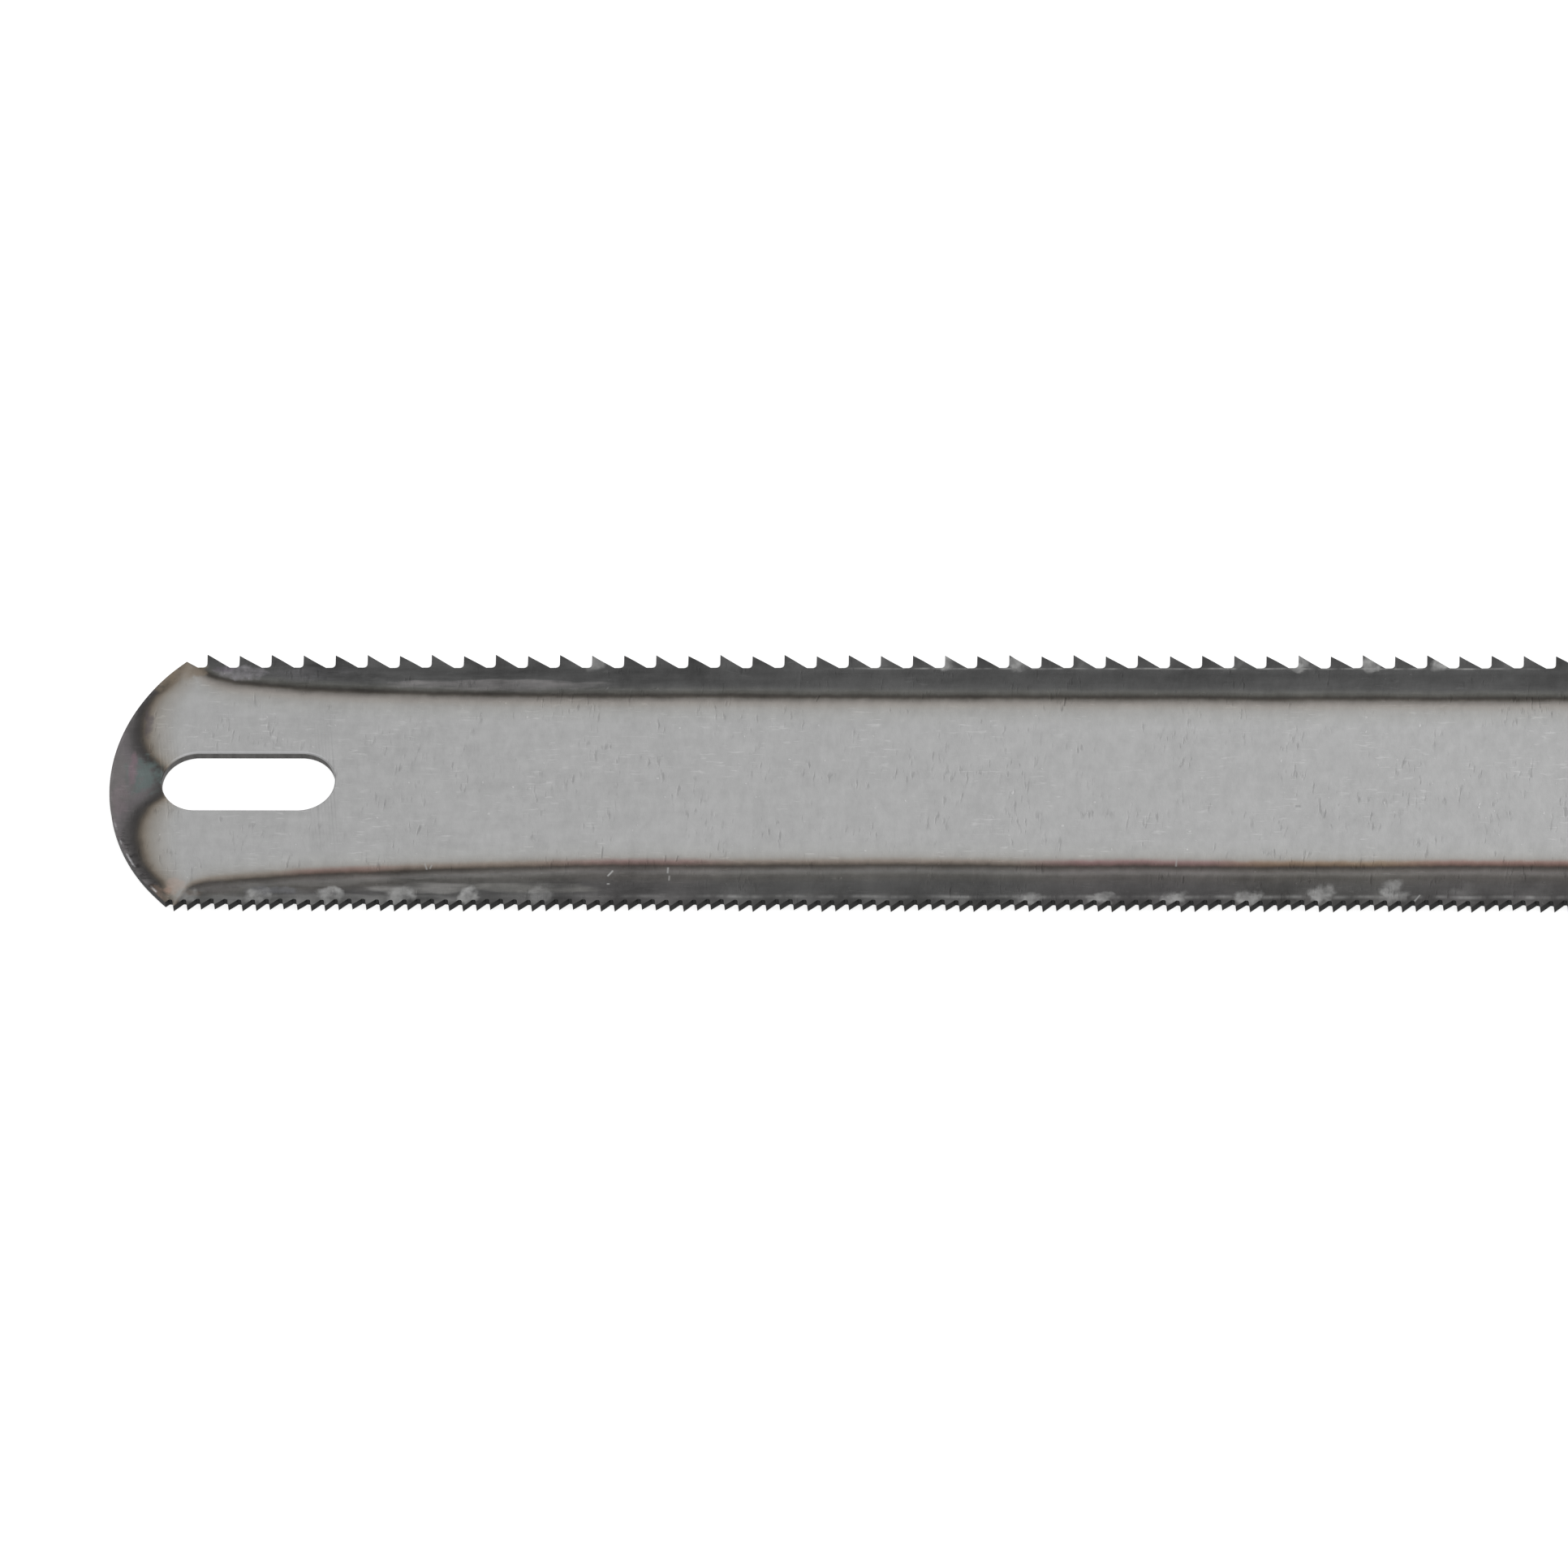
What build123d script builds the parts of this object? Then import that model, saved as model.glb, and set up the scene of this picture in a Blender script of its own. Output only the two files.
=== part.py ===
from build123d import *
import os
from math import ceil, cos, pi, radians, sin, tan

os.makedirs("parts", exist_ok=True)

# The strip: one piece of spring steel, with coarse teeth for wood along +Y and fine teeth for metal
# along -Y. Both rows point towards -X, the end that is pulled or pushed into the cut.
pin_spacing = 300.0     # from the seat of one frame pin to the seat of the other
width = 24.0            # over the tips of both rows
thickness = 0.65
end_radius = 15.6       # each end is one wide arc, which meets both rows at a corner
end_land = 4.0          # metal left between a slot and the end of the blade
slot_length = 13.3
slot_width = 5.4
slot_roll = 0.12        # edge that the punch rolls over where it enters a slot
punch_line = -0.14      # slots and end arcs lie this far off the middle, towards the fine row

# The coarse row
coarse_pitch = 2.469
coarse_depth = 1.2      # from the tips down to the flat of the gullets
coarse_relief = 33.7    # degrees between a tooth's back and the edge
coarse_rake = 3.0       # degrees that a tooth's face leans forward
coarse_gullet = 0.3     # radius from the flat of a gullet up into the next face
coarse_gullet_flats = 2
coarse_start = 6.65     # from the end of the blade to the first whole tooth's tip

# The fine row
fine_pitch = 1.0583
fine_depth = 0.6
fine_relief = 39.7
fine_rake = -9.0
fine_gullet = 0.14
fine_gullet_flats = 1
fine_start = 5.71

# The wavy set: both edges are rolled into shallow waves, which grow from a bend line out to the tips.
# The rolls don't keep step with the cutter that mills the teeth, so the waves drift along the rows.
wave = 5.53             # from one bulge to the next on the same side
set_depth = 2.4         # from the tips to the bend line
coarse_set = 0.09       # how far the waves carry the tips out to each side
fine_set = 0.13
coarse_wave_start = 1.78    # from the first coarse tip to the next place where the edge crosses the middle
fine_wave_start = 1.44      # the same from the first fine tip

length = pin_spacing + 2 * (end_land + slot_width / 2)
clear = 1.0             # how far a cutting form reaches past what it cuts


def half_wave(height):
    """Half a wave of the set edge: flat at the bend line, y = 0, and bulging by height towards -y."""
    reach = set_depth + clear / 4
    crest = height * (reach / set_depth) ** 2 * 4 / 3
    lead = wave / 2 * 4 / 3 / pi
    across = (0, lead, wave / 2 - lead, wave / 2)
    rows = []
    for y, share in ((0, 0), (-reach / 2, 0), (-reach, 1)):
        heights = (0, crest * share, crest * share, 0)
        rows.append([(x, y, z - thickness / 2) for x, z in zip(across, heights)])
    return Solid.extrude(Face.make_bezier_surface(rows), Vector(0, 0, thickness))


def wavy_strip(height, crossing):
    """Waves side by side over the whole length of the blade, rising from the middle at one crossing."""
    halves = (half_wave(height), half_wave(-height))
    first = crossing - ceil((crossing + length / 2) / wave) * wave
    count = 2 * ceil((length / 2 - first) / wave)
    strip = [Pos(first + i * wave / 2, 0, 0) * halves[i % 2] for i in range(count)]
    return strip[0].fuse(*strip[1:])


def tooth_row(pitch, depth, relief, rake, gullet, flats, first):
    """The outline of a row of teeth over the whole length, tips down at y = -set_depth.

    Each gullet turns up into the next tooth's face in a few flats.
    """
    back = depth / tan(radians(relief))
    lean = depth * tan(radians(rake))
    root = depth - set_depth
    turn = radians(90 + rake)
    tip = first - ceil((first + length / 2) / pitch) * pitch
    corners = [(tip, clear)]
    while tip < length / 2:
        corners += [(tip, -set_depth), (tip + back, root)]
        centre = tip + pitch + lean - gullet * tan(turn / 2)
        for i in range(flats + 1):
            angle = turn * i / flats
            corners.append((centre + gullet * sin(angle), root - gullet + gullet * cos(angle)))
        tip += pitch
    corners += [(tip, -set_depth), (tip + back, root), (tip + back, clear)]
    return make_face(Polyline(*corners, close=True))


def set_edge(row, height, crossing):
    """The waves with a row of teeth milled through them, the bend line at y = 0."""
    return wavy_strip(height, crossing) & extrude(row, thickness + 2 * height + clear, both=True)


def fine_edge():
    tip = fine_start - length / 2
    row = tooth_row(fine_pitch, fine_depth, fine_relief, fine_rake, fine_gullet, fine_gullet_flats, tip)
    edge = set_edge(row, fine_set, tip + fine_wave_start)
    return Pos(0, set_depth - width / 2, 0) * edge


def coarse_edge():
    """The coarse edge, made like the fine one and turned over to the other side of the blade."""
    tip = coarse_start - length / 2
    row = tooth_row(coarse_pitch, coarse_depth, coarse_relief, coarse_rake, coarse_gullet,
                    coarse_gullet_flats, tip)
    edge = set_edge(row, coarse_set, tip + coarse_wave_start)
    return Pos(0, width / 2 - set_depth, 0) * Rot(180, 0, 0) * edge


def end_form():
    """What the punches leave of the strip: an arc at each end and a slot for each frame pin."""
    arc_centre = length / 2 - end_radius
    slot_centre = length / 2 - end_land - slot_length / 2
    form = Rectangle(2 * arc_centre, 2 * width)
    for side in (-1, 1):
        form += Pos(side * arc_centre, punch_line) * Circle(end_radius)
    for side in (-1, 1):
        form -= Pos(side * slot_centre, punch_line) * SlotOverall(slot_length, slot_width)
    return extrude(form, thickness + fine_set + coarse_set + clear, both=True)


def slot_rims(blade):
    """The upper edges of the slots, where the punch went in."""
    top = blade.edges().filter_by_position(Axis.Z, thickness / 2, thickness / 2)
    inner = top.filter_by_position(Axis.Y, punch_line - slot_width / 2, punch_line + slot_width / 2)
    slot_reach = length / 2 - end_land
    return inner.filter_by_position(Axis.X, -slot_reach, slot_reach)


def make_blade():
    flat_width = width - 2 * set_depth
    flat = Box(length + 2 * clear, flat_width, thickness)
    strip = flat.fuse(coarse_edge(), fine_edge())
    blade = strip & end_form()
    blade = chamfer(slot_rims(blade), min(slot_roll, thickness / 3))
    lowest_tip = blade.vertices().sort_by(Axis.Z)[0].Z
    return Pos(0, 0, -lowest_tip) * blade


export_step(make_blade(), "parts/blade.step")
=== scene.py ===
from math import ceil, cos, pi, radians, sin, tan

import bpy
import numpy as np
from mathutils import Matrix, Vector


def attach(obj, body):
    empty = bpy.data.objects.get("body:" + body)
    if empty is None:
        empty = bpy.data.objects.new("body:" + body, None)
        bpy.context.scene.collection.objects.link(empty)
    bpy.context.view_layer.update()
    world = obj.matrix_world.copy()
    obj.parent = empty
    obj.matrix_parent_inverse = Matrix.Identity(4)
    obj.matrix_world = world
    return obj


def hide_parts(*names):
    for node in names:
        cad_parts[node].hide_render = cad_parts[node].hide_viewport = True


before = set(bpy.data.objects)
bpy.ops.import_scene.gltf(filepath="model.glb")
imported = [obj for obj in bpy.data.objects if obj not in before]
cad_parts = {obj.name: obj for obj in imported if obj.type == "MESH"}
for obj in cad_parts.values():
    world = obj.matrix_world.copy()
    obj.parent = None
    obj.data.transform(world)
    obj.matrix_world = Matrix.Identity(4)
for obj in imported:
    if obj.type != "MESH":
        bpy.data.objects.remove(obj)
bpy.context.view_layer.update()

mm = 0.001


# The camera
# It looks down on the front of the blade from the fine teeth's side, and frames the same stretch of
# it as the photograph does. It stands far off with a long lens, so that the blade hardly narrows.
sight = Vector((-104.887, -0.0903, 0.454)) * mm    # the spot on the blade in the middle of the picture
lean = radians(37.583)                             # from straight above
swing = radians(10.099)                            # round towards the blade's hidden end
roll = radians(0.048)
distance = 4.0
picture_pixels = 1932
pixels_per_mm = 16.1348
seen_width = picture_pixels / pixels_per_mm * mm

towards = Vector((sin(lean) * sin(swing), -sin(lean) * cos(swing), cos(lean)))
level = (Vector((1, 0, 0)) - towards.x * towards).normalized()
upright = towards.cross(level)
right = cos(roll) * level + sin(roll) * upright
up = cos(roll) * upright - sin(roll) * level
turned = Matrix((right, up, towards)).transposed().to_4x4()

lens = bpy.data.cameras.new("camera")
lens.sensor_width = 36
lens.lens = lens.sensor_width * distance / seen_width
lens.clip_start = 0.1
lens.clip_end = 100
camera = bpy.data.objects.new("camera", lens)
bpy.context.scene.collection.objects.link(camera)
camera.matrix_world = Matrix.Translation(sight + distance * towards) @ turned
bpy.context.scene.camera = camera
bpy.context.scene.view_settings.view_transform = "Standard"


# The studio
# A plain pale floor that the blade lies on, an even white room, and two large soft lamps: the one
# behind lights the blade more and more towards its hidden end.
white = (1, 1, 1, 1)
floor_width = 40
floor_colour = (0.6, 0.6, 0.6, 1)
floor_lift = 0.72            # added where the floor is seen or mirrored, which takes it to white
room_level = 0.685           # the light that the room gives
room_shown = 1.0             # and how bright it is to the camera
lamps_aim = Vector((-0.1, 0, 0))


def deselect():
    bpy.ops.object.select_all(action="DESELECT")


def open_nodes(owner):
    owner.use_nodes = True
    owner.node_tree.nodes.clear()
    return owner.node_tree


def add(tree, kind, **values):
    """A shader node with some of its settings or its inputs set."""
    node = tree.nodes.new(kind)
    for name, value in values.items():
        if name in node.inputs:
            node.inputs[name].default_value = value
        else:
            setattr(node, name, value)
    return node


def wire(tree, source, target):
    """Feeds a node's input from another node's output, or sets it to a plain value."""
    if isinstance(source, bpy.types.NodeSocket):
        tree.links.new(source, target)
    else:
        target.default_value = source


def reckon(tree, operation, *values):
    """The result of a sum on numbers and outputs."""
    node = add(tree, "ShaderNodeMath", operation=operation)
    for value, target in zip(values, node.inputs):
        wire(tree, value, target)
    return node.outputs[0]


def fade(tree, value, low, high, start=0.0, end=1.0, smooth=False):
    """Turns a value that runs from low to high into one that runs from start to end and no further."""
    node = add(tree, "ShaderNodeMapRange", interpolation_type="SMOOTHSTEP" if smooth else "LINEAR")
    inputs = {"Value": value, "From Min": low, "From Max": high, "To Min": start, "To Max": end}
    for name, source in inputs.items():
        wire(tree, source, node.inputs[name])
    return node.outputs["Result"]


room = bpy.data.worlds.new("room")
bpy.context.scene.world = room
tree = open_nodes(room)
path = add(tree, "ShaderNodeLightPath").outputs
seen = reckon(tree, "MAXIMUM", path["Is Camera Ray"], path["Is Transmission Ray"])
background = add(tree, "ShaderNodeBackground", Color=white)
output = add(tree, "ShaderNodeOutputWorld")
wire(tree, fade(tree, seen, 0, 1, room_level, room_shown), background.inputs["Strength"])
wire(tree, background.outputs[0], output.inputs["Surface"])

deselect()
bpy.ops.mesh.primitive_plane_add(size=floor_width, location=(0, 0, 0))
floor = bpy.context.object
floor.name = "floor"
paint = bpy.data.materials.new("floor_paint")
tree = open_nodes(paint)
path = add(tree, "ShaderNodeLightPath").outputs
seen = reckon(tree, "MAXIMUM", path["Is Camera Ray"], path["Is Transmission Ray"])
seen_or_mirrored = reckon(tree, "MAXIMUM", seen, path["Is Glossy Ray"])
matt = add(tree, "ShaderNodeBsdfDiffuse", Color=floor_colour)
glow = add(tree, "ShaderNodeEmission", Color=white)
both = add(tree, "ShaderNodeAddShader")
output = add(tree, "ShaderNodeOutputMaterial")
wire(tree, reckon(tree, "MULTIPLY", seen_or_mirrored, floor_lift), glow.inputs["Strength"])
wire(tree, matt.outputs[0], both.inputs[0])
wire(tree, glow.outputs[0], both.inputs[1])
wire(tree, both.outputs[0], output.inputs["Surface"])
floor.data.materials.append(paint)

lamps = (    # name, place, width of the square that shines, watts
    ("lamp_behind", (0.45, 0.95, 1.2), 1.3, 7.0),
    ("lamp_front", (0.5, -1.1, 1.2), 1.0, 3.0),
)
for name, place, size, watts in lamps:
    lamp_data = bpy.data.lights.new(name, "AREA")
    lamp_data.size = size
    lamp_data.energy = watts
    lamp = bpy.data.objects.new(name, lamp_data)
    bpy.context.scene.collection.objects.link(lamp)
    lamp.location = Vector(place)
    lamp.rotation_euler = (lamps_aim - Vector(place)).to_track_quat("-Z", "Y").to_euler()
    lamp.visible_camera = False


# The blade
# One strip of spring steel with a row of coarse teeth for wood along the far edge and fine teeth for
# metal along the near one. The teeth are milled, both edges are rolled into shallow waves, and then
# the ends and the slots for the frame's pins are punched.
thickness = 0.65 * mm
half_length = 156.7 * mm
half_width = 12.0 * mm
set_depth = 2.4 * mm                   # from the tips in to the line that the waves start at
bend_line = half_width - set_depth
wave = 5.53 * mm
coarse_set = 0.09 * mm                 # how far the waves carry the tips out to each side
fine_set = 0.13 * mm
middle = thickness / 2 + fine_set      # the height of the strip's middle: it lies on its lowest tips
hair = 0.001 * mm                      # corners nearer to each other than this are one
sharp_from = radians(20)               # faces that meet at less than this shade as one


def draw_face(name, corners):
    """A flat face drawn by hand: one corner, extruded along each side in turn, then filled."""
    deselect()
    bpy.ops.mesh.primitive_plane_add(size=mm, location=(*corners[0], middle))
    face = bpy.context.object
    face.name = name
    bpy.ops.object.transform_apply(location=True, rotation=False, scale=False)
    bpy.ops.object.mode_set(mode="EDIT")
    bpy.ops.mesh.merge(type="CENTER")
    for (x, y), (next_x, next_y) in zip(corners, corners[1:]):
        side = (next_x - x, next_y - y, 0)
        bpy.ops.mesh.extrude_region_move(TRANSFORM_OT_translate={"value": side})
    bpy.ops.mesh.select_all(action="SELECT")
    bpy.ops.mesh.edge_face_add()
    bpy.ops.object.mode_set(mode="OBJECT")
    return face


def select_corners(piece, wanted):
    """Selects the corners of a mesh whose place passes a test, and all between them, in edit mode."""
    bpy.ops.object.mode_set(mode="EDIT")
    bpy.ops.mesh.select_mode(type="VERT")
    bpy.ops.mesh.select_all(action="DESELECT")
    bpy.ops.object.mode_set(mode="OBJECT")
    for corner in piece.data.vertices:
        corner.select = wanted(corner.co)
    bpy.ops.object.mode_set(mode="EDIT")
    bpy.ops.mesh.select_mode(type="VERT")


def slice_across(spot, direction):
    bpy.ops.mesh.select_all(action="SELECT")
    bpy.ops.mesh.bisect(plane_co=spot, plane_no=direction, threshold=hair / 100)


def tooth_row(name, side, pitch, depth, relief, rake, gullet, first_tip, slices):
    """One toothed strip, flat: a single tooth with its gullet, sliced for the waves, and its copies.

    A tooth's back makes the relief angle with the edge, and its face leans in by the rake. The gullet
    is the radius from the flat between two teeth up into the next face.
    """
    gullet_steps = 4
    slices_deep = 6
    back = depth / tan(radians(relief))
    lean_in = depth * tan(radians(rake))
    turn = radians(90 + rake)
    cut = pitch / slices * 2            # the cell starts a little way down a tooth's back
    root = half_width - depth
    shoulder = half_width - cut * tan(radians(relief))
    cells_before = ceil((half_length + first_tip) / pitch) + 2
    x = first_tip - cells_before * pitch
    next_tip = x + pitch
    corners = [(x + cut, bend_line), (next_tip + cut, bend_line), (next_tip + cut, shoulder),
               (next_tip, half_width), (next_tip + lean_in, root), (x + back, root),
               (x + cut, shoulder)]
    row = draw_face(name, [(along, side * across) for along, across in corners])

    foot = Vector((next_tip + lean_in, side * root, middle))
    select_corners(row, lambda co: (co - foot).length < hair)
    bpy.ops.mesh.bevel(offset=gullet * tan(turn / 2), offset_type="OFFSET", segments=gullet_steps,
                       affect="VERTICES")
    for i in range(1, slices):
        slice_across((x + cut + i * pitch / slices, 0, 0), (1, 0, 0))
    for i in range(1, slices_deep):
        slice_across((0, side * (bend_line + set_depth * i / slices_deep), 0), (0, 1, 0))
    bpy.ops.object.mode_set(mode="OBJECT")

    copies = row.modifiers.new("copies", "ARRAY")
    copies.count = ceil(2 * half_length / pitch) + 4      # past both ends, which are cut off later
    copies.use_relative_offset = False
    copies.use_constant_offset = True
    copies.constant_offset_displace = (pitch, 0, 0)
    copies.use_merge_vertices = True
    copies.merge_threshold = hair
    bpy.ops.object.modifier_apply(modifier="copies")
    return row


coarse_first = -half_length + 6.65 * mm     # the first whole tooth's tip
fine_first = -half_length + 5.71 * mm
coarse_row = tooth_row("coarse_row", side=1, pitch=2.469 * mm, depth=1.2 * mm, relief=33.7, rake=3.0,
                       gullet=0.3 * mm, first_tip=coarse_first, slices=10)
fine_row = tooth_row("fine_row", side=-1, pitch=1.0583 * mm, depth=0.6 * mm, relief=39.7, rake=-9.0,
                     gullet=0.14 * mm, first_tip=fine_first, slices=4)

# Both rows are one strip with the flat between them, which gets its thickness here.
deselect()
coarse_row.select_set(True)
fine_row.select_set(True)
bpy.context.view_layer.objects.active = coarse_row
bpy.ops.object.join()
blade = coarse_row
blade.name = "steel_blade"
blade.data.name = "steel_blade"
select_corners(blade, lambda co: abs(abs(co.y) - bend_line) < hair)
bpy.ops.mesh.select_mode(type="EDGE")
bpy.ops.mesh.bridge_edge_loops()
bpy.ops.mesh.select_all(action="SELECT")
bpy.ops.mesh.normals_make_consistent(inside=False)
bpy.ops.object.mode_set(mode="OBJECT")

plate = blade.modifiers.new("plate", "SOLIDIFY")
plate.thickness = thickness
plate.offset = 0
bpy.ops.object.modifier_apply(modifier="plate")

# The rolls push the fine edge up first and the coarse edge down first, more towards the tips.
coarse_crossing = coarse_first + 1.78 * mm      # where the edge next crosses the middle
fine_crossing = fine_first + 1.44 * mm
corners = np.empty(len(blade.data.vertices) * 3)
blade.data.vertices.foreach_get("co", corners)
corners = corners.reshape(-1, 3)
along, across = corners[:, 0], corners[:, 1]
spread = np.clip((np.abs(across) - bend_line) / set_depth, 0, None) ** 2
coarse_roll = -coarse_set * np.sin(2 * pi * (along - coarse_crossing) / wave)
fine_roll = fine_set * np.sin(2 * pi * (along - fine_crossing) / wave)
corners[:, 2] += spread * np.where(across < 0, fine_roll, coarse_roll)
blade.data.vertices.foreach_set("co", corners.ravel())

# The punches for the ends and the slots. One that enters a slot rolls its upper rim over.
punch_line = -0.14 * mm      # ends and slots lie a little off the middle, towards the fine teeth
punch_reach = 1.0 * mm       # how far a punch stands out on each side of the blade
end_radius = 15.6 * mm
end_land = 4.0 * mm          # the metal between a slot and the end
slot_radius = 2.7 * mm
slot_reach = 3.95 * mm       # from the middle of a slot to the centre of either round end
slot_middle = half_length - end_land - slot_radius - slot_reach
slot_roll = 0.12 * mm


def round_punch(name, sides, radius, reach, rim=0.0):
    """A punch with round ends: a drum pulled out along the blade, which flares where it enters."""
    rim_steps = 5
    top = middle + thickness / 2
    deselect()
    bpy.ops.mesh.primitive_cylinder_add(vertices=sides, radius=radius, depth=2 * punch_reach,
                                        location=(0, 0, 0))
    punch = bpy.context.object
    punch.name = name
    bpy.ops.object.mode_set(mode="EDIT")
    bpy.ops.mesh.select_all(action="SELECT")
    bpy.ops.transform.rotate(value=pi / sides, orient_axis="Z", center_override=(0, 0, 0))
    select_corners(punch, lambda co: co.z > 0)
    bpy.ops.transform.translate(value=(0, 0, top - rim - punch_reach))
    for i in range(rim_steps if rim else 0):
        turn, next_turn = pi / 2 * i / rim_steps, pi / 2 * (i + 1) / rim_steps
        rise = rim * (sin(next_turn) - sin(turn))
        grow = (radius + rim * (1 - cos(next_turn))) / (radius + rim * (1 - cos(turn)))
        bpy.ops.mesh.extrude_region_move(TRANSFORM_OT_translate={"value": (0, 0, rise)})
        bpy.ops.transform.resize(value=(grow, grow, 1), center_override=(0, 0, 0))
    bpy.ops.mesh.extrude_region_move(TRANSFORM_OT_translate={"value": (0, 0, punch_reach)})
    for side in (-1, 1):
        select_corners(punch, lambda co: co.x * side > 0)
        bpy.ops.transform.translate(value=(side * reach, 0, 0))
    bpy.ops.object.mode_set(mode="OBJECT")
    return punch


def cut_with(punch, place, operation):
    """Cuts the blade with a punch at that place and takes the punch away."""
    punch.location = place
    bpy.context.view_layer.objects.active = blade
    cut = blade.modifiers.new("cut", "BOOLEAN")
    cut.operation = operation
    cut.solver = "EXACT"
    cut.object = punch
    bpy.ops.object.modifier_apply(modifier="cut")
    bpy.data.objects.remove(punch)


end_punch = round_punch("end_punch", sides=256, radius=end_radius, reach=half_length - end_radius)
cut_with(end_punch, (0, punch_line, 0), "INTERSECT")
for side in (-1, 1):
    slot_punch = round_punch("slot_punch", sides=128, radius=slot_radius, reach=slot_reach,
                             rim=slot_roll)
    cut_with(slot_punch, (side * slot_middle, punch_line, 0), "DIFFERENCE")

deselect()
blade.select_set(True)
bpy.context.view_layer.objects.active = blade
bpy.ops.object.shade_smooth_by_angle(angle=sharp_from)
even = blade.modifiers.new("even", "WEIGHTED_NORMAL")    # keeps the flat beside the rolled rims flat
even.keep_sharp = True
bpy.ops.object.modifier_apply(modifier="even")


# The finish is worked out in mm from the nearer end and from the middle line. Three groups hold it:
# the heat's colours, the marks of rolling and rubbing with painted highlights on the waves, and the
# marks of the punches with painted highlights along their edges.
def together(tree, operation, *values):
    """One result from many values, taken in one after another."""
    result = values[0]
    for value in values[1:]:
        result = reckon(tree, operation, result, value)
    return result


def total(tree, *values):
    return together(tree, "ADD", *values)


def product(tree, *values):
    return together(tree, "MULTIPLY", *values)


def largest(tree, *values):
    return together(tree, "MAXIMUM", *values)


def less(tree, value, taken):
    return reckon(tree, "SUBTRACT", value, taken)


def apart(tree, one, other):
    """How far two numbers are apart."""
    return reckon(tree, "ABSOLUTE", less(tree, one, other))


def straight_off(tree, along, across):
    """How far off a spot is, from how far it is along and how far across."""
    squares = total(tree, reckon(tree, "POWER", along, 2), reckon(tree, "POWER", across, 2))
    return reckon(tree, "SQRT", squares)


def soft_line(tree, value, begins, full, wanes, gone, left=0.0):
    """A line with soft sides, where a distance lies in a narrow range, and what is left past it."""
    return product(tree, fade(tree, value, begins, full), fade(tree, value, wanes, gone, 1.0, left))


def colour(shade):
    """A shade as a screen shows it, a grey or (red, green, blue) up to 255, in the nodes' measure."""
    levels = shade if isinstance(shade, tuple) else (shade, shade, shade)
    return (*[((level / 255 + 0.055) / 1.055) ** 2.4 for level in levels], 1)


def bands(tree, value, stops):
    """Colours along a value: pairs of a mark and the shade there."""
    first, last = stops[0][0], stops[-1][0]
    node = add(tree, "ShaderNodeValToRGB")
    wire(tree, fade(tree, value, first, last), node.inputs[0])
    elements = node.color_ramp.elements
    while len(elements) < len(stops):
        elements.new(0.5)
    for element, (mark, shade) in zip(elements, stops):
        element.position = (mark - first) / (last - first)
        element.color = colour(shade)
    return node.outputs["Color"]


def mixed(tree, share, one, other, blend="MIX"):
    """Two colours mixed by a share of the second one."""
    node = add(tree, "ShaderNodeMix", data_type="RGBA", blend_type=blend)
    colour_inputs, colour_output = node.inputs[6:8], node.outputs[2]    # the rest are for numbers
    for source, target in zip((one, other), colour_inputs):
        wire(tree, source, target)
    wire(tree, share, node.inputs[0])
    return colour_output


def lit(tree, shade, factor):
    """A colour made lighter or darker by a factor."""
    node = add(tree, "ShaderNodeVectorMath", operation="SCALE")
    wire(tree, shade, node.inputs[0])
    wire(tree, factor, node.inputs["Scale"])
    return node.outputs[0]


def stretched(tree, place, factors, shift=(0, 0, 0)):
    """A place scaled each way and moved, which draws out the pattern that is laid by it."""
    node = add(tree, "ShaderNodeVectorMath", operation="MULTIPLY_ADD")
    for source, target in zip((place, factors, shift), node.inputs):
        wire(tree, source, target)
    return node.outputs[0]


def noise(tree, place, scale, detail=2.0, rough=0.5):
    """Noise from -1 to 1, mostly between halves; the place is in mm."""
    node = add(tree, "ShaderNodeTexNoise", Scale=scale, Detail=detail, Roughness=rough)
    wire(tree, place, node.inputs["Vector"])
    return reckon(tree, "MULTIPLY_ADD", node.outputs["Fac"], 2, -1)


def ragged_patch(tree, place, off_along, off_across, half_long, half_wide,
                 coarseness=1.3, raggedness=1.6):
    """A patch with a soft ragged edge, from how far a spot lies off its middle each way; all in mm."""
    along = reckon(tree, "POWER", reckon(tree, "DIVIDE", off_along, half_long), 2)
    across = reckon(tree, "POWER", reckon(tree, "DIVIDE", off_across, half_wide), 2)
    ragged = product(tree, noise(tree, place, coarseness, 4.0), raggedness)
    return fade(tree, total(tree, along, across, ragged), 0.0, 1.2, 1.0, 0.0, smooth=True)


def new_group(name, outputs):
    """A group of nodes that gives out these values, and the node that takes them."""
    group = bpy.data.node_groups.new(name, "ShaderNodeTree")
    for label, kind in outputs.items():
        group.interface.new_socket(name=label, in_out="OUTPUT", socket_type=kind)
    return group, group.nodes.new("NodeGroupOutput").inputs


def in_mm(tree):
    """The place on the blade in mm, how far that is from the nearer end, and how far across."""
    where = add(tree, "ShaderNodeTexCoord")
    place = stretched(tree, where.outputs["Object"], (1 / mm, 1 / mm, 1 / mm))
    split = add(tree, "ShaderNodeSeparateXYZ")
    wire(tree, place, split.inputs[0])
    from_end = less(tree, half_length / mm, reckon(tree, "ABSOLUTE", split.outputs[0]))
    return place, from_end, split.outputs[1]


# The heat of the hardening left dark bands along both edges and round the ends, each with a border
# line and a tinted halo. Every border is a distance in mm, and its colours are laid along it.
temper, temper_out = new_group("temper", {"Colour": "NodeSocketColor", "Dark": "NodeSocketFloat"})
place, from_end, y = in_mm(temper)
tallest = 15.0      # the most that a border's height can be
longest = 100.0     # how far in from an end a border is drawn; from there it runs on level


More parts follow.
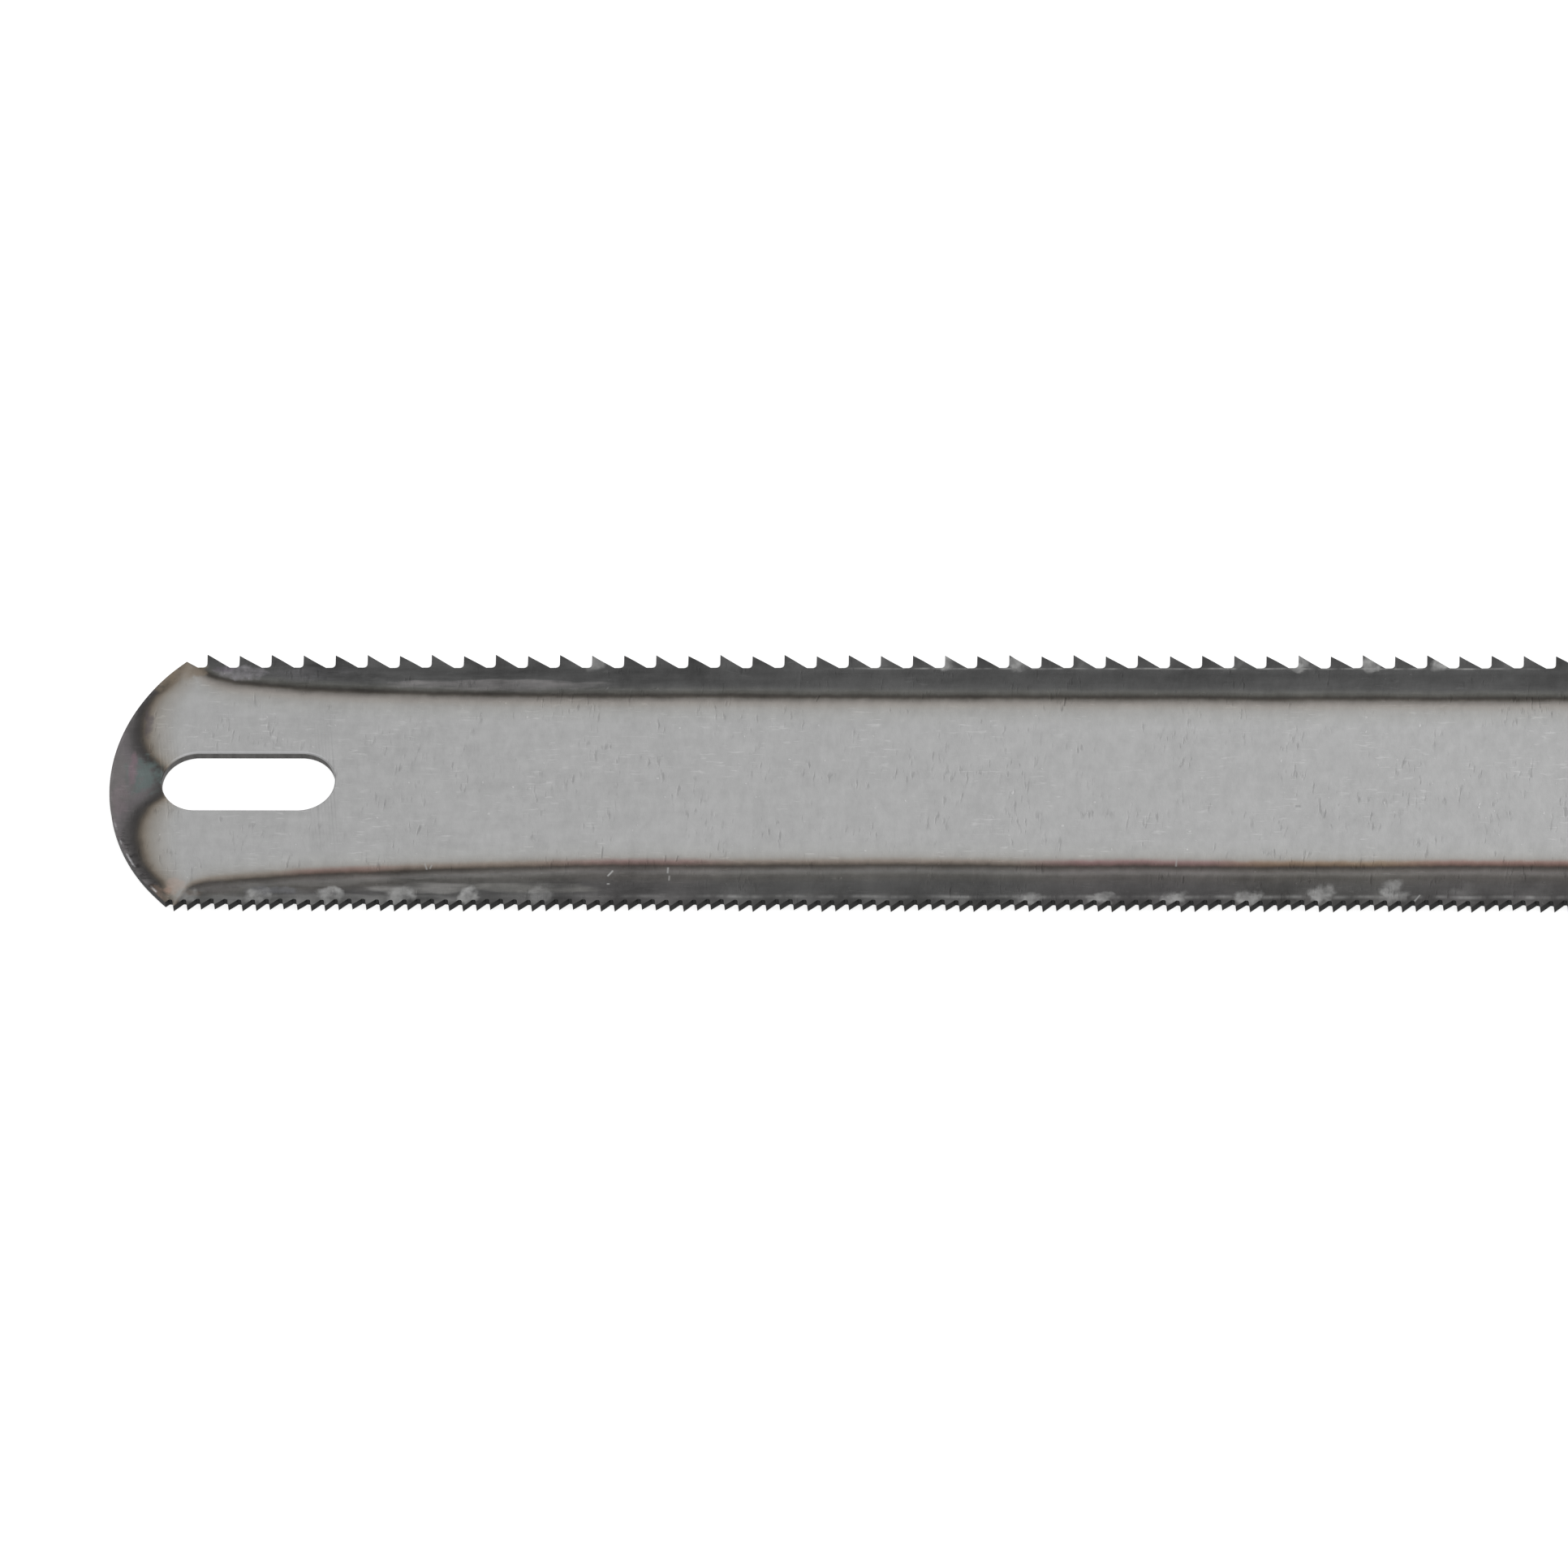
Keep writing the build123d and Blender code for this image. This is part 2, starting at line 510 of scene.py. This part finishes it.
def drawn_line(value, low, high, points):
    """A line drawn through points: pairs of a mark between low and high and the height there."""
    node = temper.nodes.new("ShaderNodeFloatCurve")
    curve = node.mapping.curves[0]
    for i, (mark, height) in enumerate(points):
        spot = ((mark - low) / (high - low), height / tallest)
        if i < 2:                                # a new curve has two points already
            curve.points[i].location = spot
        else:
            curve.points.new(*spot)
    node.mapping.update()
    wire(temper, fade(temper, value, low, high), node.inputs["Value"])
    return product(temper, node.outputs[0], tallest)


waver = product(temper, noise(temper, place, 0.09, detail=1.0), 0.16)
fray = product(temper, noise(temper, place, 1.1, detail=2.0), 0.1)
unrest = total(temper, waver, fray)

# Points of each border: from the end, and from the middle line. Bands: past the border, and the shade.
top_border = drawn_line(from_end, 0, longest, (
    (4.6, 12.6), (5.7, 11.0), (6.5, 10.2), (7.2, 9.78), (8.0, 9.5), (9.2, 9.23), (10.5, 9.1),
    (12, 8.95), (14, 8.76), (17, 8.53), (21, 8.33), (25, 8.15), (30, 8.09), (40, 8.04), (55, 7.94),
    (70, 7.88), (100, 7.77)))
past_top = total(temper, less(temper, y, top_border), unrest)
top_colour = bands(temper, past_top, (
    (-2.6, 166), (-1.8, (163, 163, 162)), (-1.17, (158, 157, 155)), (-0.77, (151, 148, 144)),
    (-0.57, (144, 140, 136)), (-0.37, (129, 125, 121)), (-0.17, (107, 104, 100)),
    (-0.07, (90, 86, 82)), (0.03, (74, 71, 67)), (0.13, (66, 63, 60)), (0.23, (67, 65, 62)),
    (0.43, (83, 82, 79)), (0.68, (93, 93, 91)), (1.03, 83), (1.43, 78), (2.33, 73), (2.73, 78)))

low_border = drawn_line(from_end, 0, longest, (
    (5.2, 13.0), (5.8, 12.2), (6.2, 11.4), (6.9, 10.35), (7.6, 10.0), (8.4, 9.82), (9.9, 9.61),
    (11.4, 9.47), (14.4, 9.2), (18.2, 8.95), (22, 8.79), (26, 8.63), (30, 8.45), (34, 8.29),
    (39, 8.18), (48, 8.12), (70, 8.08), (80, 8.19), (100, 8.2)))
past_low = less(temper, unrest, total(temper, low_border, y))
low_colour = bands(temper, past_low, (
    (-2.4, 166), (-1.4, (164, 164, 163)), (-1.0, (160, 159, 157)), (-0.8, (155, 153, 150)),
    (-0.6, (147, 145, 141)), (-0.4, (132, 128, 124)), (-0.2, (107, 103, 99)),
    (-0.06, (85, 81, 77)), (0.04, (72, 69, 66)), (0.14, (75, 72, 69)), (0.24, (82, 80, 78)),
    (0.44, (98, 96, 94)), (0.59, (104, 103, 102)), (0.74, (101, 100, 98)), (0.94, (89, 88, 86)),
    (1.14, (83, 82, 80)), (1.84, 78), (2.44, 77)))

# The border round an end dips towards the slot, whose hole held the heat up. Its points are given
# across the blade first, and then from the end.
end_border = drawn_line(y, -half_width / mm, half_width / mm, (
    (-10.8, 4.8), (-10.0, 4.6), (-9.1, 3.9), (-8.3, 3.3), (-6.9, 2.78), (-4.7, 2.5), (-2.8, 3.0),
    (-1.2, 4.2), (0.8, 4.1), (1.7, 3.35), (2.6, 2.65), (3.4, 2.3), (5.1, 2.1), (6.4, 2.25),
    (7.2, 2.45), (8.0, 2.85), (8.8, 3.5), (9.55, 4.0), (10.8, 4.6)))
past_end = total(temper, less(temper, end_border, from_end), unrest)
end_colour = bands(temper, past_end, (
    (-3.4, 166), (-2.6, (163, 163, 162)), (-1.8, (156, 154, 151)), (-1.2, (147, 144, 139)),
    (-0.8, (138, 133, 126)), (-0.5, (124, 117, 108)), (-0.25, (99, 92, 84)), (0.0, (74, 70, 66)),
    (0.25, (66, 64, 63)), (0.5, (71, 69, 69)), (0.8, (84, 82, 82)), (1.15, (98, 95, 96)),
    (1.6, (107, 103, 105)), (2.6, (112, 109, 109))))

# The halo along the fine row goes from tan through pink to orange, by how far it is from the end.
halo = soft_line(temper, past_low, -0.75, -0.4, -0.15, 0.1, left=0.15)
hue = bands(temper, from_end, (
    (0, (255, 249, 242)), (13, (255, 249, 242)), (16, (255, 230, 226)), (20, (255, 229, 225)),
    (24, (255, 245, 238)), (33, (255, 244, 236)), (39, (255, 227, 228)), (45, (255, 230, 230)),
    (49, (255, 246, 240)), (70, (255, 247, 242)), (75, (255, 221, 226)), (85, (255, 223, 226)),
    (89, (255, 229, 209)), (98, (255, 235, 213)), (103, (255, 221, 216))))
low_colour = mixed(temper, halo, low_colour, hue, "MULTIPLY")
both_rows = mixed(temper, 1.0, top_colour, low_colour, "DARKEN")
tinted = mixed(temper, 1.0, both_rows, end_colour, "DARKEN")

# Tinted patches: tan and pink where an end's border meets the rows, teal beside the slot, and greys
# along both rows. The ragged edges of the long ones are drawn out along the blade.
drawn_out = (0.22, 1.1, 1.0)
long_from = 2.2
tinted_patches = (    # from the end, across, half length, half width, strength, shade
    (4.6, 10.9, 2.1, 1.6, 0.65, (134, 124, 112)), (3.3, 9.9, 1.2, 1.5, 0.75, (116, 106, 93)),
    (6.1, 10.5, 0.8, 0.7, 0.6, (124, 114, 102)), (5.7, -10.2, 0.9, 0.8, 0.35, (178, 158, 148)),
    (5.2, -10.6, 0.35, 0.5, 0.5, (150, 128, 116)), (4.2, -10.9, 1.0, 0.9, 0.6, (106, 92, 82)),
    (7.0, -10.8, 1.1, 0.35, 0.7, (94, 82, 72)), (2.5, 0.5, 1.5, 1.9, 0.7, (96, 110, 108)),
    (1.7, 0.9, 0.4, 1.8, 0.6, (128, 105, 114)), (0.9, -2.0, 0.7, 2.4, 0.5, (120, 110, 114)),
    (2.6, 5.4, 0.4, 1.5, 0.5, (78, 73, 82)), (9.4, 10.3, 1.9, 0.7, 0.85, (122, 120, 123)),
    (8.2, 10.7, 1.0, 0.35, 0.5, (104, 98, 106)), (14.5, 10.3, 3.5, 0.8, 0.5, (100, 99, 101)),
    (29.5, 9.1, 8.5, 0.6, 0.7, (118, 116, 116)), (22.5, 9.35, 1.8, 0.25, 0.5, (120, 118, 118)),
    (8.8, -10.35, 2.0, 0.7, 0.7, (84, 81, 80)), (13.2, -10.6, 2.2, 0.5, 0.4, (112, 113, 118)),
    (17.0, -9.9, 3.5, 0.4, 0.4, (108, 107, 105)), (25.0, -10.35, 4.5, 0.6, 0.75, (128, 127, 125)),
    (33.0, -10.3, 7.0, 0.5, 0.55, (114, 113, 110)), (17.0, -11.5, 14.0, 0.6, 0.5, (114, 114, 113)))
for along, across, half_long, half_wide, strength, shade in tinted_patches:
    grained = stretched(temper, place, drawn_out) if half_long > long_from else place
    patch = ragged_patch(temper, grained, less(temper, from_end, along), less(temper, y, across),
                         half_long, half_wide)
    tinted = mixed(temper, product(temper, patch, strength), tinted, colour(shade))
wire(temper, tinted, temper_out["Colour"])
darkest = largest(temper, past_top, past_low, past_end)
wire(temper, fade(temper, darkest, -0.6, 0.2, smooth=True), temper_out["Dark"])

# Marks that rolling and rubbing left: small ticks along and across the blade, clouds in the scale, a
# few single scratches, a light burr along the gullets, and patches on the waves of the set that are
# partly rubbed steel and partly painted highlight, where the slopes of the waves catch the light.
marks, marks_out = new_group("marks", {"Ticks": "NodeSocketFloat", "Clouds": "NodeSocketFloat",
                                       "Bright": "NodeSocketFloat", "Grain": "NodeSocketFloat"})
place, from_end, y = in_mm(marks)
upwards = (0, 0, 1)


def flecks(none, full, factors=(1, 1, 1), shift=(0, 0, 0), scale=1.0, detail=2.0):
    """Where a stretched noise stands high: none of it under one level, all of it over another."""
    level = noise(marks, stretched(marks, place, factors, shift), scale, detail)
    return fade(marks, level, none, full)


def measured(heading):
    """How far a place lies along a heading from the middle of the blade, in mm."""
    node = add(marks, "ShaderNodeVectorMath", operation="DOT_PRODUCT")
    wire(marks, place, node.inputs[0])
    wire(marks, heading, node.inputs[1])
    return node.outputs["Value"]


def scratches(rows):
    """Single thin scratches on the upper face, drawn one by one."""
    half_thin, half_wide, soft = 0.03, 0.1, 0.05
    deepest = 0.0
    for along, across, half_long, turned_by, depth in rows:
        turn = radians(turned_by)
        spot = Vector((along - half_length / mm, across, 0))
        lengthways, sideways = (cos(turn), sin(turn), 0), (-sin(turn), cos(turn), 0)
        off_along = apart(marks, measured(lengthways), spot.dot(Vector(lengthways)))
        off_across = apart(marks, measured(sideways), spot.dot(Vector(sideways)))
        mark = product(marks, fade(marks, off_along, half_long - soft, half_long + soft, 1.0, 0.0),
                       fade(marks, off_across, half_thin, half_wide, 1.0, 0.0), depth)
        deepest = largest(marks, mark, deepest)
    on_top = fade(marks, measured(upwards), middle / mm, middle / mm + 0.1)
    return product(marks, deepest, on_top)


ticks_along = product(marks, flecks(none=0.22, full=0.42, factors=(0.85, 4.2, 1.0), detail=1.0),
                      flecks(none=-0.05, full=0.2, scale=0.31), 0.8)
ticks_across = product(marks, flecks(none=0.16, full=0.42, factors=(3.2, 0.8, 1.0), shift=(31, 7, 0)),
                       flecks(none=-0.02, full=0.22, shift=(0, 40, 9), scale=0.33), -1.0)
specks = flecks(none=0.52, full=0.62, shift=(3, 0, 5), scale=2.2, detail=1.0)
light_scratches = scratches((    # from the seen end, across, half length, degrees turned, depth
    (39.09, -8.91, 0.32, 55, 1.0), (39.0, -9.91, 0.1, 0, 0.8), (43.49, -8.61, 0.27, 90, 0.7),
    (43.64, -9.35, 0.23, 90, 0.5), (24.88, -8.26, 0.32, -70, 0.6), (25.27, -8.3, 0.2, 72, 0.6),
    (82.42, -7.64, 0.56, 90, 0.45), (101.02, -11.24, 0.41, 55, 0.8), (91.06, -1.18, 0.12, 0, 0.6),
    (91.24, -2.23, 0.42, 0, 0.5)))
dark_scratches = scratches((
    (83.02, -9.46, 0.35, 90, 0.8), (91.38, -2.42, 0.2, 0, 0.8), (38.31, -6.9, 0.58, 90, 0.7),
    (72.9, 7.55, 0.4, 85, 1.0), (53.9, 7.85, 0.3, 70, 0.8), (43.2, -7.5, 0.3, 90, 0.8),
    (44.1, -7.5, 0.3, 80, 0.8)))
all_ticks = total(marks, ticks_along, specks, ticks_across, product(marks, dark_scratches, -1.5))
wire(marks, all_ticks, marks_out["Ticks"])

# Clouds in the scale: streaks, strongest a little way in from each end, broad soft ones under them,
# and a slow darkening towards the middle of the blade.
streaks = noise(marks, stretched(marks, place, (0.28, 1.1, 1.0)), 1.0, 4.0, 0.6)
streaky = product(marks, streaks, fade(marks, from_end, 32, 55, 1.6, 0.7),
                  fade(marks, from_end, 4, 9, 0.2, 1.0))
cloudy = noise(marks, stretched(marks, place, (0.16, 0.11, 1.0), (5, 3, 0)), 1.0, 3.0, 0.55)
deeper = fade(marks, from_end, 45, 100, 0.0, -0.2)
wire(marks, total(marks, streaky, cloudy, deeper), marks_out["Clouds"])
grain = noise(marks, stretched(marks, place, (1.3, 0.9, 1.0)), 0.8, 3.0, 0.6)
wire(marks, grain, marks_out["Grain"])


def wave_patches(first, step, line, half_long, half_wide):
    """A patch of rubbing and painted highlight on every wave, the first centred that far from the end,
    all on one line.
    """
    turns = reckon(marks, "DIVIDE", less(marks, from_end, first), step)
    nearest = less(marks, reckon(marks, "FRACT", total(marks, turns, 0.5)), 0.5)
    patch = ragged_patch(marks, place, product(marks, nearest, step), less(marks, y, line),
                         half_long, half_wide, coarseness=1.0, raggedness=1.7)
    return product(marks, patch, fade(marks, noise(marks, place, 1.3, 2.0), -0.3, 0.3, 0.4, 0.9))


def near(spot, reach, elsewhere=0.0):
    """1 along one stretch of the blade, fading within 6 mm to what shows elsewhere."""
    return fade(marks, apart(marks, from_end, spot), reach, reach + 6, 1.0, elsewhere)


def burr(line, half_wide):
    """A thin broken line along a row's gullets."""
    breaks = noise(marks, stretched(marks, place, (0.8, 0.1, 1.0)), 1.0, 3.0)
    return product(marks, fade(marks, apart(marks, y, line), 0.0, half_wide, 1.0, 0.0, smooth=True),
                   fade(marks, breaks, -0.25, 0.3))


# Further in, the patches of the fine row reach in from its gullets and widen. Some teeth of the coarse
# row are rubbed and carry a painted highlight too, a few in each of three short stretches.
patch_line = fade(marks, from_end, 75, 100, -11.3, -10.7)
patch_half_width = fade(marks, from_end, 75, 100, 0.6, 1.25)
patches_by_end = wave_patches(first=12.1, step=5.45, line=-11.05, half_long=1.15, half_wide=0.9)
patches_by_end = product(marks, patches_by_end, near(20, reach=11))
patches_further_in = wave_patches(first=76.95, step=5.56, line=patch_line, half_long=1.1,
                                  half_wide=patch_half_width)
patches_further_in = product(marks, patches_further_in, near(85, reach=14, elsewhere=0.1), 0.65)
worn_and_glinting_teeth = wave_patches(first=36.5, step=5.43, line=11.3, half_long=0.9, half_wide=0.85)
worn_and_glinting_stretches = largest(marks, near(36.5, reach=-2), near(66, reach=3), near(96, reach=6))
worn_and_glinting_teeth = product(marks, worn_and_glinting_teeth, worn_and_glinting_stretches, 0.75)
fine_burr = product(marks, burr(-11.1, half_wide=0.28), fade(marks, from_end, 38, 46, 0.1, 0.35))
coarse_burr = product(marks, burr(10.74, half_wide=0.13), near(82, reach=22), 0.6)
bright = largest(marks, patches_by_end, patches_further_in, worn_and_glinting_teeth, fine_burr, coarse_burr,
                 light_scratches)
wire(marks, bright, marks_out["Bright"])

# A painted highlight runs round the far rim of each slot, and a broken one along the burr inside the
# arc of each end. The punches tore the scale there on the side of the fine teeth.
edges, edges_out = new_group("edges", {"Bright": "NodeSocketFloat", "Dark": "NodeSocketFloat"})
place, from_end, y = in_mm(edges)
off_line = less(edges, y, punch_line / mm)

off_slot = apart(edges, from_end, (half_length - slot_middle) / mm)
past_straight = reckon(edges, "MAXIMUM", less(edges, off_slot, slot_reach / mm), 0.0)
to_slot = less(edges, straight_off(edges, past_straight, off_line), slot_radius / mm)
far_side = fade(edges, off_line, 1.7, 2.6)
slot_rim_highlight = product(edges, soft_line(edges, to_slot, 0.02, 0.07, 0.12, 0.2), far_side)

to_centre = less(edges, from_end, end_radius / mm)
to_arc = less(edges, end_radius / mm, straight_off(edges, to_centre, off_line))
on_end = reckon(edges, "LESS_THAN", to_centre, 0.0)
near_side = product(edges, fade(edges, off_line, -3.0, -6.0, 0.1, 1.0), on_end)
nicks = fade(edges, noise(edges, place, 1.1, 4.0, 0.6), 0.0, 0.22)
arc_burr_highlight = product(edges, soft_line(edges, to_arc, 0.05, 0.12, 0.16, 0.28), nicks, near_side)
wire(edges, largest(edges, slot_rim_highlight, arc_burr_highlight), edges_out["Bright"])

tears = noise(edges, stretched(edges, place, (1.3, 3.0, 1.0)), 1.0, 4.0, 0.6)
torn = less(edges, fade(edges, tears, 0.02, 0.2), product(edges, fade(edges, tears, -0.12, -0.3), 0.5))
torn = product(edges, torn, fade(edges, to_arc, 0.35, 1.0, 1.0, 0.0), near_side)
wire(edges, torn, edges_out["Dark"])


def new_metal(name, **values):
    """A metal material, its nodes, and the inputs of its shader."""
    metal = bpy.data.materials.new(name)
    tree = open_nodes(metal)
    shader = add(tree, "ShaderNodeBsdfPrincipled", Metallic=1.0, **values)
    output = add(tree, "ShaderNodeOutputMaterial")
    wire(tree, shader.outputs[0], output.inputs["Surface"])
    return metal, tree, shader.inputs


# The steel with its scale: the groups above, some stronger in the dark bands than on the bare steel.
cloud_strength = (0.08, 0.38)      # on bare steel, and in the bands
grain_strength = (0.13, 0.16)
plain_roughness = (0.42, 0.36)
tick_strength = 0.19
tear_strength = -0.45
edge_highlight_strength = 0.65
rubbed_and_glint_shade = (158, 158, 157)
edge_highlight_shade = (196, 196, 198)
steel, tree, shader = new_metal("tempered_steel")
groups = []
for group in (temper, marks, edges):
    node = tree.nodes.new("ShaderNodeGroup")
    node.node_tree = group
    groups.append(node.outputs)
tempered, marked, edged = groups
dark = tempered["Dark"]
clouds = product(tree, marked["Clouds"], fade(tree, dark, 0, 1, *cloud_strength))
grain = product(tree, marked["Grain"], fade(tree, dark, 0, 1, *grain_strength))
ticks = product(tree, marked["Ticks"], tick_strength)
tears = product(tree, edged["Dark"], tear_strength)
scaled_steel = lit(tree, tempered["Colour"], total(tree, 1.0, clouds, grain, ticks, tears))
# Rubbed steel and painted highlight: the bright patches on the waves and on some coarse teeth.
rubbed_and_glinting_steel = mixed(tree, marked["Bright"], scaled_steel, colour(rubbed_and_glint_shade))
# Painted highlight along the far rims of the slots and the burr of the end arcs.
painted_edge_highlights = product(tree, edged["Bright"], edge_highlight_strength)
wire(tree, mixed(tree, painted_edge_highlights, rubbed_and_glinting_steel, colour(edge_highlight_shade)), shader["Base Color"])
evenly_rough = fade(tree, dark, 0, 1, *plain_roughness)
wire(tree, total(tree, evenly_rough, product(tree, marked["Clouds"], 0.05)), shader["Roughness"])
bump = add(tree, "ShaderNodeBump", Strength=0.4, Distance=0.02 * mm)
wire(tree, total(tree, marked["Grain"], product(tree, marked["Ticks"], 0.8)), bump.inputs["Height"])
wire(tree, bump.outputs[0], shader["Normal"])

# The milled flanks of the teeth and the punched walls have no scale; their dark colour is painted
# shade, given to every face that turns sideways. Those of the slots are lighter, to make up for the
# shadow that falls in the slot.
flank_painted_shade = 44
slot_wall_painted_shade = (90, 89, 88)
flank_steel_painted_shade, tree, shader = new_metal("flank_steel_painted_shade", Roughness=0.55)
place, _, y = in_mm(tree)
in_slot = fade(tree, reckon(tree, "ABSOLUTE", y), 3.0, 6.0, 1.0, 0.0)
shade = mixed(tree, in_slot, colour(flank_painted_shade), colour(slot_wall_painted_shade))
streaks = noise(tree, stretched(tree, place, (3.0, 3.0, 0.8)), 1.0, 3.0)
wire(tree, lit(tree, shade, reckon(tree, "MULTIPLY_ADD", streaks, 0.5, 1.0)), shader["Base Color"])

upright_below = 0.4      # a face whose normal rises less than this is a flank or a wall
blade.data.materials.clear()
blade.data.materials.append(steel)
blade.data.materials.append(flank_steel_painted_shade)
# Faces that turn sideways take the flank steel, whose dark colour is painted shade.
for face in blade.data.polygons:
    face.material_index = 1 if abs(face.normal.z) < upright_below else 0
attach(blade, "root")
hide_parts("blade")
